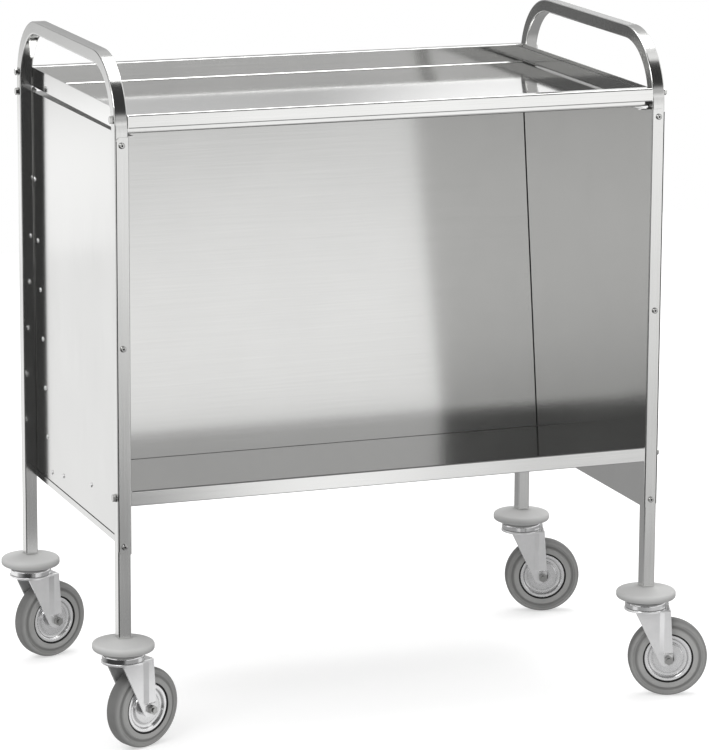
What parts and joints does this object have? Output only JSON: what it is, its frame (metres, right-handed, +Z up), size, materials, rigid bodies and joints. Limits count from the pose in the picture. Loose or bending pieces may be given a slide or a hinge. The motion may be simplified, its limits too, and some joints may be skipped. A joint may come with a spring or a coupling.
{
  "type": "plate trolley",
  "caption": "Stainless plate trolley with a top tray, a sloping shelf and back for plate stacks, side panels, tube handles and swivel castors with bumpers.",
  "frame": {"origin": "on the floor plane, midway between the four legs", "axes": "+X along the long front to the right seen from the open plate bay, +Y to the rear, the plate bay opens to -Y, +Z up"},
  "size_m": [1.0031, 0.604, 1.055],
  "materials": {
    "tube_steel": "satin stainless square tube, ground along its length",
    "tray_steel": "satin stainless sheet, grain along the tray",
    "sheet_steel": "satin stainless sheet, grain along the shelf and up the back",
    "panel_steel": "satin stainless sheet, grain upright",
    "fastener_steel": "turned stainless fasteners",
    "rivet_aluminium": "bright domed rivets",
    "zinc_plate": "zinc plated steel",
    "race_zinc": "bright zinc plated pressed steel",
    "fork_zinc": "bright zinc plated pressed steel",
    "rim_zinc": "bright zinc plated pressed steel",
    "axle_zinc": "zinc plated bolt and nut",
    "ball_steel": "polished bearing balls",
    "hub_black": "plain black bearing bush",
    "bumper_grey": "soft grey non-marking rubber",
    "tyre_grey": "grey non-marking solid rubber"
  },
  "bodies": {
    "trolley": {"left_hoop": "tube_steel", "right_hoop": "tube_steel", "top_tray": "tray_steel", "bottom_shelf": "sheet_steel", "back_panel": "sheet_steel", "left_side_panel": "panel_steel", "right_side_panel": "panel_steel", "hex_bolts": "fastener_steel", "hex_washers": "fastener_steel", "hex_nuts": "fastener_steel", "flange_screws": "fastener_steel", "leg_inserts": "zinc_plate", "side_rivets": "rivet_aluminium", "shelf_rear_rivets": "rivet_aluminium", "leg_plugs": "zinc_plate", "front_left_bumper": "bumper_grey", "front_left_stem": "zinc_plate", "front_left_upper_race": "race_zinc", "rear_left_bumper": "bumper_grey", "rear_left_stem": "zinc_plate", "rear_left_upper_race": "race_zinc", "rear_right_bumper": "bumper_grey", "rear_right_stem": "zinc_plate", "rear_right_upper_race": "race_zinc", "front_right_bumper": "bumper_grey", "front_right_stem": "zinc_plate", "front_right_upper_race": "race_zinc"},
    "front_left_castor": {"front_left_fork": "fork_zinc", "front_left_race_balls": "ball_steel", "front_left_axle_sleeve": "zinc_plate", "front_left_axle_bolt": "axle_zinc", "front_left_axle_nut": "axle_zinc"},
    "front_left_wheel": {"front_left_tyre": "tyre_grey", "front_left_rim_discs": "rim_zinc", "front_left_hub_bush": "hub_black"},
    "rear_left_castor": {"rear_left_fork": "fork_zinc", "rear_left_race_balls": "ball_steel", "rear_left_axle_sleeve": "zinc_plate", "rear_left_axle_bolt": "axle_zinc", "rear_left_axle_nut": "axle_zinc"},
    "rear_left_wheel": {"rear_left_tyre": "tyre_grey", "rear_left_rim_discs": "rim_zinc", "rear_left_hub_bush": "hub_black"},
    "rear_right_castor": {"rear_right_fork": "fork_zinc", "rear_right_race_balls": "ball_steel", "rear_right_axle_sleeve": "zinc_plate", "rear_right_axle_bolt": "axle_zinc", "rear_right_axle_nut": "axle_zinc"},
    "rear_right_wheel": {"rear_right_tyre": "tyre_grey", "rear_right_rim_discs": "rim_zinc", "rear_right_hub_bush": "hub_black"},
    "front_right_castor": {"front_right_fork": "fork_zinc", "front_right_race_balls": "ball_steel", "front_right_axle_sleeve": "zinc_plate", "front_right_axle_bolt": "axle_zinc", "front_right_axle_nut": "axle_zinc"},
    "front_right_wheel": {"front_right_tyre": "tyre_grey", "front_right_rim_discs": "rim_zinc", "front_right_hub_bush": "hub_black"}
  },
  "joints": [
    {"name": "front_left_swivel", "type": "hinge", "parent": "trolley", "child": "front_left_castor", "pos_m": [-0.43, -0.255, 0.1423], "axis": [0, 0, 1], "continuous": true},
    {"name": "front_left_axle", "type": "hinge", "parent": "front_left_castor", "child": "front_left_wheel", "pos_m": [-0.39679, -0.24111, 0.0625], "axis": [-0.3859, 0.9225, 0], "continuous": true},
    {"name": "rear_left_swivel", "type": "hinge", "parent": "trolley", "child": "rear_left_castor", "pos_m": [-0.43, 0.255, 0.1423], "axis": [0, 0, 1], "continuous": true},
    {"name": "rear_left_axle", "type": "hinge", "parent": "rear_left_castor", "child": "rear_left_wheel", "pos_m": [-0.3958, 0.26624, 0.0625], "axis": [-0.3123, 0.95, 0], "continuous": true},
    {"name": "rear_right_swivel", "type": "hinge", "parent": "trolley", "child": "rear_right_castor", "pos_m": [0.43, 0.255, 0.1423], "axis": [0, 0, 1], "continuous": true},
    {"name": "rear_right_axle", "type": "hinge", "parent": "rear_right_castor", "child": "rear_right_wheel", "pos_m": [0.46439, 0.24435, 0.0625], "axis": [0.2957, 0.9553, 0], "continuous": true},
    {"name": "front_right_swivel", "type": "hinge", "parent": "trolley", "child": "front_right_castor", "pos_m": [0.43, -0.255, 0.1423], "axis": [0, 0, 1], "continuous": true},
    {"name": "front_right_axle", "type": "hinge", "parent": "front_right_castor", "child": "front_right_wheel", "pos_m": [0.46402, -0.26678, 0.0625], "axis": [0.3272, 0.9449, 0], "continuous": true}
  ]
}
